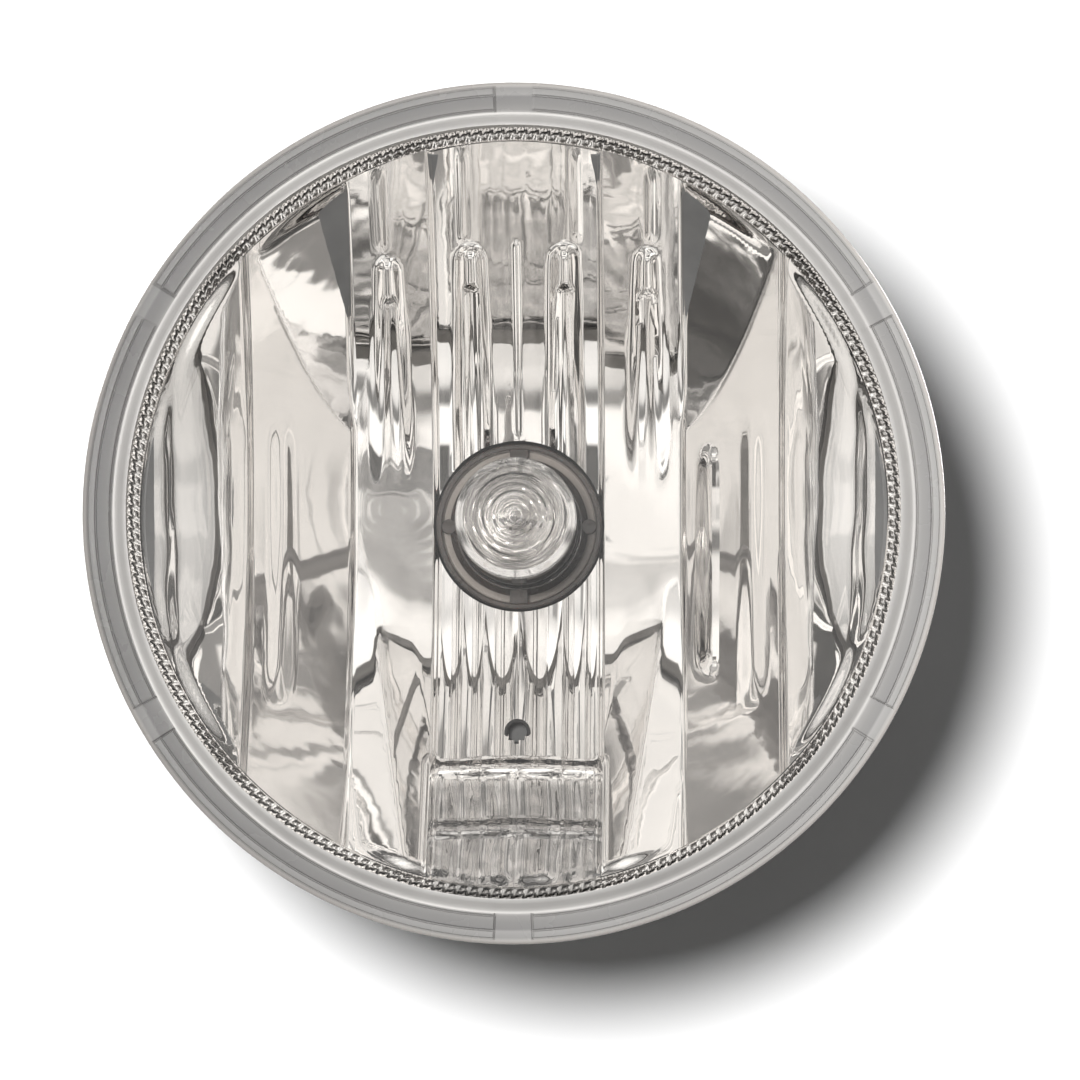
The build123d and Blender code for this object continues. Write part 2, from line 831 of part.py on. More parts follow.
with BuildPart() as bulb_o_ring:
    with BuildSketch(Plane.XY):
        with Locations((ring_radius, station(base_flange_front - ring_section))):
            Circle(ring_section)
    revolve(axis=Axis.Y)
finish(bulb_o_ring, "bulb_o_ring")

with BuildPart() as bulb_terminals:
    with BuildSketch(Plane.XY.offset(socket_floor)):
        with Locations(
            (-blade_spacing / 2, station(shroud_depth)),
            (blade_spacing / 2, station(shroud_depth)),
        ):
            Rectangle(blade_width, blade_thickness)
    extrude(amount=blade_top - socket_floor)
    chamfer(bulb_terminals.faces().filter_by(Axis.Z).group_by(Axis.Z)[-1].edges(), blade_chamfer)
finish(bulb_terminals, "bulb_terminals")
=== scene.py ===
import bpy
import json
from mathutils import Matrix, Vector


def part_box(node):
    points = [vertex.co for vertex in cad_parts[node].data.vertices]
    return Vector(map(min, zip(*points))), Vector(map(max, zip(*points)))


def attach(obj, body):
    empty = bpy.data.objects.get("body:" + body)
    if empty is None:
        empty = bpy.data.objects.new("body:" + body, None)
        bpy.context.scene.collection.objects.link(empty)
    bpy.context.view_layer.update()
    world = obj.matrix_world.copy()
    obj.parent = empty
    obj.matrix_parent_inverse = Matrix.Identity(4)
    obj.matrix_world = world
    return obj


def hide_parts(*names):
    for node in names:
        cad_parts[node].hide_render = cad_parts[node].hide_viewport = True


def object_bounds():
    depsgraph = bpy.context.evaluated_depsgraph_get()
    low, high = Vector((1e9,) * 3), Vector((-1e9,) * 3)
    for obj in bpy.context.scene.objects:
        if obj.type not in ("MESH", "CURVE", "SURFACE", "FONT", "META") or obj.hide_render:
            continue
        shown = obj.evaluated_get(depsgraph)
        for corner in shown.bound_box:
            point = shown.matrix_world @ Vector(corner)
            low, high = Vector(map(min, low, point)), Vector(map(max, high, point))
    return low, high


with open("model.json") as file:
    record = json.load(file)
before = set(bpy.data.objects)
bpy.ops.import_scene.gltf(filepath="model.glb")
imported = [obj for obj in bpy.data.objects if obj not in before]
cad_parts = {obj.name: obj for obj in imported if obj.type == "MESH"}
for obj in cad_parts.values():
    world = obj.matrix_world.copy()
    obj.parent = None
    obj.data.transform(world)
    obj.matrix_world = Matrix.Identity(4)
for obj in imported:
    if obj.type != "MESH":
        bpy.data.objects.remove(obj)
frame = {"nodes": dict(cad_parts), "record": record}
cad_box = [list(corner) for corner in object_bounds()]

import json
from math import ceil, cos, degrees, exp, pi, radians, sin, sqrt

import bmesh
import bpy
import numpy as np
from mathutils import Vector

# Lengths in the pieces below are in millimetres, turned into metres by MM. Depths are
# counted rearwards from the crown of the lens, as y = FRONT + depth.
MM = 0.001
lens_low, lens_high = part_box("lens")
FRONT = lens_low.y
LENS_RADIUS = lens_high.x / MM
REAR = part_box("bracket")[1].y


# ---- Small tools ---------------------------------------------------------------------
def smooth(t):
    """Smooth step from 0 to 1 as t goes from 0 to 1."""
    t = np.clip(t, 0.0, 1.0)
    return t * t * (3.0 - 2.0 * t)


def rise(x, edge, width):
    """Smooth rise from 0 to 1 over width, centred on edge."""
    return smooth((x - edge) / width + 0.5)


def hump(t):
    """Rounded hump: 1 at t = 0, and 0 with no slope from |t| = 1."""
    return np.clip(1.0 - t * t, 0.0, 1.0) ** 1.5


def spaced(low, high, marks, fine, coarse, growth):
    """Positions from low to high, close together near the marks."""
    places = [low]
    while places[-1] < high:
        near = min(abs(places[-1] - mark) for mark in marks)
        places.append(places[-1] + min(coarse, fine + growth * near))
    places = np.array(places)
    return low + (places - low) * (high - low) / (places[-1] - low)


def new_object(name, vertices, faces, materials, indices=None, smooth_angle=35.0):
    """Mesh object from points in metres, shaded smooth except across sharp edges."""
    mesh = bpy.data.meshes.new(name)
    mesh.from_pydata([tuple(v) for v in vertices], [], [tuple(f) for f in faces])
    for material in materials:
        mesh.materials.append(material)
    if indices is not None:
        mesh.polygons.foreach_set("material_index", np.array(indices, np.int32))
    edit = bmesh.new()
    edit.from_mesh(mesh)
    bmesh.ops.remove_doubles(edit, verts=edit.verts, dist=1e-7)
    bmesh.ops.dissolve_degenerate(edit, edges=edit.edges, dist=1e-7)
    loose = [v for v in edit.verts if not v.link_faces]
    bmesh.ops.delete(edit, geom=loose, context="VERTS")
    shade(edit, smooth_angle)
    edit.to_mesh(mesh)
    edit.free()
    thing = bpy.data.objects.new(name, mesh)
    bpy.context.scene.collection.objects.link(thing)
    return thing


def shade(edit, smooth_angle):
    """Smooth faces, with edges sharper than smooth_angle kept crisp."""
    for face in edit.faces:
        face.smooth = True
    for edge in edit.edges:
        sharp = len(edge.link_faces) == 2 and edge.calc_face_angle(0) > radians(smooth_angle)
        edge.smooth = not sharp


def grid_faces(rows, columns, start=0, closed=False):
    """Quads of a grid of points stored row by row."""
    quads = []
    last = columns if closed else columns - 1
    for r in range(rows - 1):
        for c in range(last):
            a = start + r * columns + c
            b = start + r * columns + (c + 1) % columns
            quads.append((a, b, b + columns, a + columns))
    return quads


def lathe(name, profile, materials, bands=None, angles=None, relief=None, closed=True,
          centre=(0.0, 0.0), smooth_angle=35.0):
    """Turned piece about a line along Y, from (radius, depth) points.

    bands gives the material index of each profile run, and relief(radius, depth, angle)
    gives the depth to add at each point.
    """
    if angles is None:
        angles = around(128)
    angles = np.asarray(angles)
    points = list(profile) + ([profile[0]] if closed else [])
    rings = []
    for radius, depth in points:
        depths = np.full(len(angles), depth)
        if relief is not None:
            depths = depths + relief(radius, depth, angles)
        rings.append(np.stack([
            centre[0] * MM + radius * MM * np.cos(angles),
            FRONT + depths * MM,
            centre[1] * MM + radius * MM * np.sin(angles),
        ], axis=1))
    faces = grid_faces(len(points), len(angles), closed=True)
    indices = None
    if bands is not None:
        indices = [band for band in bands for _ in range(len(angles))]
    thing = new_object(name, np.concatenate(rings), faces, materials, indices, smooth_angle)
    set_outward(thing)
    return thing


def set_outward(thing):
    """Turn the faces of a closed mesh to point outwards."""
    edit = bmesh.new()
    edit.from_mesh(thing.data)
    bmesh.ops.recalc_face_normals(edit, faces=edit.faces)
    edit.to_mesh(thing.data)
    edit.free()


def around(count):
    """Angles of count even steps round a circle."""
    return np.arange(count) * 2 * pi / count


def arc(centre, radius, start, end, steps):
    """Points of an arc in the (radius, depth) plane, angles in degrees."""
    return [
        (centre[0] + radius * cos(radians(a)), centre[1] + radius * sin(radians(a)))
        for a in np.linspace(start, end, steps)
    ]


def join(name, *things):
    """One object out of several, with their materials kept."""
    bpy.ops.object.select_all(action="DESELECT")
    for thing in things:
        thing.select_set(True)
    bpy.context.view_layer.objects.active = things[0]
    bpy.ops.object.join()
    things[0].name = name
    things[0].data.name = name
    return things[0]


def finish_piece(thing, body, slot, *nodes):
    """Seat a piece on its body and hide the CAD nodes it stands for; slot is not used."""
    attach(thing, body)
    if nodes:
        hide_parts(*nodes)
    return thing


# ---- Materials -----------------------------------------------------------------------
def add(tree, kind, inputs=(), **settings):
    """A node with its settings and inputs given; an input is a value or a socket."""
    node = tree.nodes.new(kind)
    for key, value in settings.items():
        setattr(node, key, value)
    for socket, value in dict(inputs).items():
        if isinstance(value, bpy.types.NodeSocket):
            tree.links.new(value, node.inputs[socket])
        else:
            node.inputs[socket].default_value = value
    return node


def calc(tree, operation, *values):
    """Result of a math node on one or two values."""
    node = add(tree, "ShaderNodeMath", dict(enumerate(values)), operation=operation)
    return node.outputs[0]


def fresh_material(name):
    """Empty material, its node tree and its output node."""
    material = bpy.data.materials.new(name)
    material.use_nodes = True
    material.node_tree.nodes.clear()
    return material, material.node_tree, add(material.node_tree, "ShaderNodeOutputMaterial")


def noise(tree, scale, detail=3.0, roughness=0.5, stretch=None):
    """Noise over the piece's own coordinates; scale is in waves per metre."""
    place = add(tree, "ShaderNodeTexCoord").outputs["Object"]
    if stretch is not None:
        place = add(tree, "ShaderNodeMapping", {"Vector": place, "Scale": stretch}).outputs[0]
    return add(tree, "ShaderNodeTexNoise", {
        "Vector": place, "Scale": scale, "Detail": detail, "Roughness": roughness,
    }).outputs["Fac"]


def remap(tree, value, low, high, out_low, out_high):
    """Value from low..high turned smoothly into out_low..out_high."""
    return add(tree, "ShaderNodeMapRange", {
        "Value": value, "From Min": low, "From Max": high, "To Min": out_low,
        "To Max": out_high,
    }, interpolation_type="SMOOTHSTEP").outputs["Result"]


def ramp(tree, value, stops):
    """Colour ramp; stops are (place, colour)."""
    node = add(tree, "ShaderNodeValToRGB", {"Fac": value})
    elements = node.color_ramp.elements
    while len(elements) > 1:
        elements.remove(elements[-1])
    elements[0].position = stops[0][0]
    elements[0].color = (*stops[0][1], 1.0)
    for place, colour in stops[1:]:
        elements.new(place).color = (*colour, 1.0)
    return node.outputs["Color"]


def bumps(tree, layers):
    """Chain of bump nodes; layers are (height socket, distance in mm)."""
    normal = None
    for height, distance in layers:
        inputs = {"Height": height, "Distance": distance * MM, "Strength": 1.0}
        if normal is not None:
            inputs["Normal"] = normal
        normal = add(tree, "ShaderNodeBump", inputs).outputs["Normal"]
    return normal


def surface(name, tones, gloss, grain=1200.0, grain_depth=0.01, patch=90.0, waves=None,
            scratches=None, **fixed):
    """Principled material with mottled colour, uneven gloss and a fine grain.

    tones are the dark and light colours, gloss the lowest and highest roughness, waves an
    optional (scale, depth) for slow unevenness, scratches an optional (stretch, depth).
    """
    material, tree, output = fresh_material(name)
    mottle = noise(tree, patch, 5.0, 0.6)
    fine = noise(tree, grain, 4.0, 0.6)
    colour = ramp(tree, mottle, [(0.35, tones[0]), (0.65, tones[1])])
    rough = remap(tree, noise(tree, patch * 2.3, 4.0), 0.3, 0.7, gloss[0], gloss[1])
    layers = [(fine, grain_depth)]
    if waves is not None:
        layers.append((noise(tree, waves[0], 2.0), waves[1]))
    if scratches is not None:
        layers.append((noise(tree, 260.0, 3.0, 0.6, scratches[0]), scratches[1]))
    inputs = {"Base Color": colour, "Roughness": rough, "Normal": bumps(tree, layers)}
    inputs.update(fixed)
    shader = add(tree, "ShaderNodeBsdfPrincipled", inputs)
    tree.links.new(shader.outputs[0], output.inputs["Surface"])
    return material


def clear_window(name, tint, roughness):
    """Clear skin: transparent, with reflections that grow at grazing angles."""
    material, tree, output = fresh_material(name)
    facing = add(tree, "ShaderNodeLayerWeight", {"Blend": 0.5}).outputs["Facing"]
    steep = calc(tree, "POWER", facing, 5.0)
    fresnel = add(tree, "ShaderNodeMath", {0: steep, 1: 0.9, 2: 0.04},
                  operation="MULTIPLY_ADD").outputs[0]
    smudge = remap(tree, noise(tree, 70.0, 5.0), 0.35, 0.7, roughness, roughness * 4)
    wavy = bumps(tree, [(noise(tree, 45.0, 1.0), 0.05)])
    through = add(tree, "ShaderNodeBsdfTransparent", {"Color": (*tint, 1.0)})
    glossy = add(tree, "ShaderNodeBsdfGlossy", {"Roughness": smudge, "Normal": wavy})
    mixed = add(tree, "ShaderNodeMixShader", {
        0: fresnel, 1: through.outputs[0], 2: glossy.outputs[0],
    })
    tree.links.new(mixed.outputs[0], output.inputs["Surface"])
    return material


def radius_bands(name, stops, gloss, painted_side_light=(0.0, 0.0)):
    """Plastic whose tone follows the distance from the lamp's axis, in millimetres, with
    painted light making one side lighter and the other darker.
    """
    material, tree, output = fresh_material(name)
    place = add(tree, "ShaderNodeTexCoord").outputs["Object"]
    parts = add(tree, "ShaderNodeSeparateXYZ", {"Vector": place})
    flat = add(tree, "ShaderNodeCombineXYZ", {"X": parts.outputs["X"], "Z": parts.outputs["Z"]})
    length = add(tree, "ShaderNodeVectorMath", {0: flat.outputs[0]}, operation="LENGTH")
    low, high = stops[0][0], stops[-1][0]
    share = add(tree, "ShaderNodeMapRange", {
        "Value": length.outputs["Value"], "From Min": low * MM, "From Max": high * MM,
    }).outputs["Result"]
    bands = ramp(tree, share, [((s - low) / (high - low), c) for s, c in stops])
    # Painted light: the colour is scaled up on the +X side and down on the other, as if lit
    # from the right.
    side = add(tree, "ShaderNodeMapRange", {
        "Value": parts.outputs["X"], "From Min": -high * MM, "From Max": high * MM,
        "To Min": 1.0 - painted_side_light[0], "To Max": 1.0 + painted_side_light[0],
    }).outputs["Result"]
    cloud = remap(tree, noise(tree, 60.0, 4.0), 0.3, 0.7, 0.975, 1.025)
    factor = calc(tree, "MULTIPLY", side, cloud)
    colour = add(tree, "ShaderNodeVectorMath", {0: bands, "Scale": factor}, operation="SCALE")
    rough = remap(tree, noise(tree, 150.0, 4.0), 0.3, 0.7, gloss[0], gloss[1])
    shader = add(tree, "ShaderNodeBsdfPrincipled", {
        "Base Color": colour.outputs[0], "Roughness": rough,
        "Normal": bumps(tree, [(noise(tree, 500.0), 0.004)]),
        "Coat Weight": 0.35, "Coat Roughness": 0.12, "IOR": 1.45,
    })
    tree.links.new(shader.outputs[0], output.inputs["Surface"])
    return material


def chrome(name, tone, low, high, wave_depth, painted_shade=None):
    """Bright metallised coat with a faint haze and the slow waves of moulded plastic.

    The last argument, a (half width, top, share), paints shade: the colour is darkened in
    streaks inside a half width and below a height in mm, standing in for dark things the chrome
    mirrors there.
    """
    material, tree, output = fresh_material(name)
    haze = remap(tree, noise(tree, 55.0, 6.0, 0.65), 0.35, 0.75, low, high)
    colour = ramp(tree, noise(tree, 30.0, 3.0), [
        (0.3, tuple(0.96 * c for c in tone)), (0.7, tone),
    ])
    # Painted shade: a darker patch of colour in place of dark reflections.
    if painted_shade is not None:
        place = add(tree, "ShaderNodeTexCoord").outputs["Object"]
        parts = add(tree, "ShaderNodeSeparateXYZ", {"Vector": place}).outputs
        aside = calc(tree, "ABSOLUTE", parts["X"])
        inside = remap(tree, aside, (painted_shade[0] - 0.3) * MM, (painted_shade[0] + 0.1) * MM, 1.0, 0.0)
        below = remap(tree, parts["Z"], (painted_shade[1] - 2.5) * MM, painted_shade[1] * MM, 1.0, 0.0)
        here = calc(tree, "MULTIPLY", inside, below)
        streak = noise(tree, 420.0, 2.0, 0.5, (1.0, 1.0, 0.12))
        streak = remap(tree, streak, 0.35, 0.65, 0.6, 1.0)
        here = calc(tree, "MULTIPLY", here, streak)
        factor = remap(tree, here, 0.0, 1.0, 1.0, painted_shade[2])
        colour = add(tree, "ShaderNodeVectorMath", {0: colour, "Scale": factor},
                     operation="SCALE").outputs[0]
    shader = add(tree, "ShaderNodeBsdfPrincipled", {
        "Base Color": colour, "Metallic": 1.0, "Roughness": haze,
        "Normal": bumps(tree, [(noise(tree, 130.0, 2.0), wave_depth),
                               (noise(tree, 1500.0, 2.0), wave_depth / 60)]),
    })
    tree.links.new(shader.outputs[0], output.inputs["Surface"])
    return material


def clear_glass(name, tone):
    """Blown glass: refracting, with slight flow lines along its axis."""
    material, tree, output = fresh_material(name)
    flow = bumps(tree, [(noise(tree, 160.0, 2.0, 0.5, (1.0, 0.25, 1.0)), 0.02)])
    rough = remap(tree, noise(tree, 200.0, 3.0), 0.3, 0.7, 0.0, 0.02)
    shader = add(tree, "ShaderNodeBsdfPrincipled", {
        "Base Color": (*tone, 1.0), "Roughness": rough, "Transmission Weight": 1.0,
        "IOR": 1.47, "Normal": flow,
    })
    tree.links.new(shader.outputs[0], output.inputs["Surface"])
    return material


# The mirror coat's colour is darkened to half over the ribbed cells below the bulb: painted
# shade for the dark things they mirror.
mirror_coat = chrome("mirror_coat", (0.93, 0.917, 0.905), 0.015, 0.045, 0.02,
                     painted_shade=(10.6, -33.0, 0.5))
mirror_back = surface("mirror_back", ((0.10, 0.10, 0.10), (0.14, 0.14, 0.14)), (0.45, 0.6))
window_skin = clear_window("window_skin", (0.985, 0.982, 0.975), 0.01)
shoulder_skin = surface(
    "shoulder_skin", ((0.42, 0.405, 0.39), (0.52, 0.505, 0.485)), (0.12, 0.25),
    grain_depth=0.002, patch=40.0, **{"Coat Weight": 0.8, "Coat Roughness": 0.05})
# The rim's colour carries painted light, 30% lighter on the right than the middle and 30%
# darker on the left.
rim_skin = radius_bands("rim_skin", [
    (50.6, (0.385, 0.376, 0.359)), (51.0, (0.35, 0.341, 0.328)), (51.4, (0.206, 0.2, 0.194)),
    (52.2, (0.175, 0.171, 0.166)), (53.1, (0.162, 0.158, 0.155)), (53.4, (0.241, 0.235, 0.228)),
    (54.2, (0.21, 0.206, 0.2)), (54.5, (0.306, 0.293, 0.28)), (55.0, (0.368, 0.341, 0.315)),
], (0.18, 0.32), painted_side_light=(0.3, 0.0))
port_plastic = surface("port_plastic", ((0.008, 0.008, 0.008), (0.016, 0.015, 0.015)),
                       (0.4, 0.6))
smoke_light = surface(
    "smoke_light", ((0.16, 0.142, 0.128), (0.215, 0.195, 0.178)), (0.25, 0.36),
    grain=900.0, grain_depth=0.003, patch=90.0,
    **{"Coat Weight": 0.4, "Coat Roughness": 0.1})
smoke_plastic = surface(
    "smoke_plastic", ((0.022, 0.018, 0.016), (0.038, 0.031, 0.028)), (0.16, 0.3),
    grain=900.0, grain_depth=0.003, patch=160.0,
    **{"Coat Weight": 0.5, "Coat Roughness": 0.08, "Subsurface Weight": 0.15,
       "Subsurface Scale": 0.002})
bulb_clear = clear_glass("bulb_clear", (0.95, 0.945, 0.94))
bulb_metal = chrome("bulb_metal", (0.60, 0.585, 0.57), 0.03, 0.07, 0.01)
tungsten = chrome("tungsten", (0.30, 0.29, 0.285), 0.25, 0.45, 0.004)

FINISHES = {
    "sealant": surface("sealant", ((0.085, 0.08, 0.078), (0.12, 0.115, 0.11)), (0.55, 0.75),
                       grain=700.0, grain_depth=0.03),
    "housing_plastic": surface(
        "housing_plastic", ((0.016, 0.016, 0.017), (0.026, 0.026, 0.027)), (0.36, 0.52),
        grain=2600.0, grain_depth=0.022, patch=60.0, waves=(55.0, 0.05)),
    "zinc_screw": surface(
        "zinc_screw", ((0.56, 0.55, 0.52), (0.63, 0.63, 0.61)), (0.26, 0.36),
        grain=2200.0, grain_depth=0.004, patch=260.0, scratches=((1.0, 6.0, 6.0), 0.01),
        **{"Metallic": 1.0}),
    "vent_rubber": surface("vent_rubber", ((0.014, 0.014, 0.015), (0.03, 0.03, 0.031)),
                           (0.6, 0.8), grain=1800.0, grain_depth=0.03),
    "insert_brass": surface("insert_brass", ((0.52, 0.37, 0.14), (0.70, 0.53, 0.24)),
                            (0.25, 0.4), grain_depth=0.006, **{"Metallic": 1.0}),
    "nylon": surface("nylon", ((0.62, 0.58, 0.50), (0.74, 0.71, 0.64)), (0.38, 0.52),
                     grain_depth=0.006, waves=(140.0, 0.03),
                     **{"Subsurface Weight": 0.25, "Subsurface Scale": 0.002}),
    "coated_steel": surface(
        "coated_steel", ((0.011, 0.011, 0.012), (0.02, 0.02, 0.021)), (0.28, 0.42),
        grain=800.0, grain_depth=0.012, patch=45.0, waves=(120.0, 0.04),
        scratches=((0.6, 5.0, 5.0), 0.006), **{"Coat Weight": 0.25, "Coat Roughness": 0.25}),
    "spring_steel": surface("spring_steel", ((0.10, 0.10, 0.105), (0.17, 0.17, 0.175)),
                            (0.35, 0.5), grain_depth=0.006, **{"Metallic": 1.0}),
    "bulb_ceramic": surface("bulb_ceramic", ((0.62, 0.60, 0.56), (0.72, 0.70, 0.66)),
                            (0.4, 0.55), grain_depth=0.01),
    "tungsten": tungsten,
    "base_plastic": surface(
        "base_plastic", ((0.03, 0.03, 0.033), (0.045, 0.045, 0.048)), (0.4, 0.55),
        grain=2400.0, grain_depth=0.018, waves=(90.0, 0.04)),
    "ring_rubber": surface("ring_rubber", ((0.36, 0.085, 0.04), (0.46, 0.12, 0.06)),
                           (0.4, 0.55), grain_depth=0.012),
    "tin_blade": surface("tin_blade", ((0.62, 0.61, 0.59), (0.74, 0.73, 0.72)), (0.2, 0.34),
                         grain_depth=0.003, scratches=((8.0, 8.0, 1.0), 0.006),
                         **{"Metallic": 1.0}),
    "clear_lens": window_skin,
    "mirror_coat": mirror_coat,
    "smoke_plastic": smoke_plastic,
    "bulb_clear": bulb_clear,
}
for subpart in frame["record"]["subparts"]:
    carried = frame["nodes"][subpart["node"]]
    carried.data.materials.clear()
    carried.data.materials.append(FINISHES[subpart["material_slot"]])

# ---- Lens: domed window, bright shoulder, grooved flange with ticks, skirt -----------
TICK_PAIRS = range(-150, 180, 60)  # where the pairs of ticks stand, in degrees
window_radius, lens_sag, lens_wall = 49.1, 2.0, 2.6
flange_front, flange_back, skirt_inner, skirt_end = 4.6, 7.0, 53.2, 13.0
crown_radius = (window_radius**2 + lens_sag**2) / (2 * lens_sag)
tick_spread = degrees(2.4 / 52.6)
tick_angles = [pair + side * tick_spread for pair in TICK_PAIRS for side in (-1, 1)]
# Grooves round the flange: radius, half width, depth
GROOVES = ((51.45, 0.16, 0.26), (53.30, 0.18, 0.30), (54.30, 0.12, 0.22))


def dome(radius, shell=0.0):
    """Depth of the window's skin at a radius, shell below its outer face."""
    return crown_radius - sqrt((crown_radius - shell) ** 2 - radius**2)


def flange_relief(radius, depth, angles):
    """Grooves round the flange's face, broken between each pair of ticks."""
    if not 51.0 < radius < 54.9 or depth > flange_front + 0.2:
        return np.zeros(len(angles))
    turn = np.degrees(angles)
    off = np.min([np.abs((turn - pair + 180) % 360 - 180) for pair in TICK_PAIRS], axis=0)
    outside = rise(off, tick_spread, 0.5)
    sunk = sum(deep * hump((radius - place) / half) for place, half, deep in GROOVES)
    tick = hump((off - tick_spread) / 0.16) * 0.3 * float(51.2 < radius < 54.5)
    return sunk * outside + tick


lens_angles = spaced(-pi, pi, [radians(a) for a in tick_angles],
                     radians(0.07), radians(1.2), 0.3)[:-1]
window_rings = [window_radius * sin(t) for t in np.linspace(0, pi / 2, 15)]
window_outer = [(r, dome(r)) for r in window_rings]
shoulder = [(49.25, 2.06), (49.5, 2.3), (49.9, 2.95), (50.35, 3.75), (50.75, 4.4),
            (50.95, 4.58)]
rim_round = 0.7
flange_radii = spaced(51.1, LENS_RADIUS - rim_round, [g[0] for g in GROOVES],
                      0.05, 0.25, 0.3)
flange = [(r, flange_front) for r in flange_radii]
edge = arc((LENS_RADIUS - rim_round, flange_front + rim_round), rim_round, -90, 0, 6)[1:]
skirt = [(LENS_RADIUS, skirt_end - 0.25), (LENS_RADIUS - 0.25, skirt_end),
         (skirt_inner + 0.2, skirt_end), (skirt_inner, skirt_end - 0.2),
         (skirt_inner, flange_back), (window_radius, flange_back)]
inner_rings = [(window_radius - lens_wall / 2) * sin(t) for t in np.linspace(pi / 2, 0, 12)]
window_inner = [(r, dome(r, lens_wall)) for r in inner_rings]
lens_profile = window_outer + shoulder + flange + edge + skirt + window_inner
clear_runs = len(window_outer)
bright_runs = len(shoulder)
grey_runs = len(flange) + len(edge) + len(skirt) - 2
lens_bands = [0] * clear_runs + [1] * bright_runs + [2] * grey_runs
lens_bands += [0] * (len(lens_profile) - len(lens_bands))
lens = lathe("lens_cover", lens_profile, [window_skin, shoulder_skin, rim_skin],
             bands=lens_bands[:len(lens_profile) - 1], angles=lens_angles,
             relief=flange_relief, closed=False)
finish_piece(lens, "lamp", "clear_lens", "lens")

# ---- Reflector: stepped columns, fingers, flutes, bars, knurled band -----------------
FOCAL, VERTEX = 16.0, 42.75
MIRROR_RADIUS, HOLE_RADIUS = 47.7, 11.3
EDGE = 0.7
CENTRE_REACH, CENTRE_FOCAL = 7.6, 16.8
# Columns beside the centre: inner edge, middle, share of the curve kept, focal length, lean
COLUMNS = (
    (10.9, 16.3, 0.6, 15.75, 0.0),
    (21.7, 28.1, 1.0, 16.4, 0.13),
    (34.5, 41.0, 0.7, 16.0, 0.0),
)
CENTRE_EDGE, FAN_EDGE = COLUMNS[0][0], COLUMNS[1][0]
# Ribs above the bulb: middle, top, half width at the top and lower down, height
FINGERS = (
    (-6.0, 36.0, 2.0, 2.7, 2.3), (6.2, 36.0, 2.0, 2.7, 2.3),
    (-16.6, 34.0, 1.5, 2.8, 1.7), (16.9, 35.0, 1.5, 2.8, 1.7),
)
# Creases in the chrome above the ribs: middle, lower end
HAIRS = ((-7.0, 36.5), (8.0, 36.5), (-17.5, 35.0), (17.5, 36.0))
# Creases between the flutes below the bulb
FLUTES = (-10.7, -7.4, -4.6, 0.0, 5.8, 8.8, 10.6)
# Strips at the outside of the wings: middle, half width, height
STRIPS = ((39.3, 4.6, 0.55), (44.9, 1.5, 0.22))
PORT_Z, PORT_RADIUS = -27.4, 1.26
BARS = (-32.4, -40.35)
RAIL_TOP = -31.2
CELL_WIDTH = 2.75
FAN_LEAN = 0.13
RIDGE_X = 30.6


def finger(x, z, middle, top, half_top, half_bottom, height):
    """Raised half-round rib with a domed top and a narrower channel let into it."""
    down = top - z
    half = half_top + (half_bottom - half_top) * np.clip(down / 22.0, 0, 1)
    side = x - middle
    body = np.where(down > half, np.abs(side) / half,
                    np.sqrt(side**2 + (half - down) ** 2) / half)
    down = down - 5.0
    slot = 0.52 * half
    channel = np.where(down > slot, np.abs(side) / slot,
                       np.sqrt(side**2 + (slot - down) ** 2) / slot)
    return height * hump(body) - 0.55 * height * hump(channel)


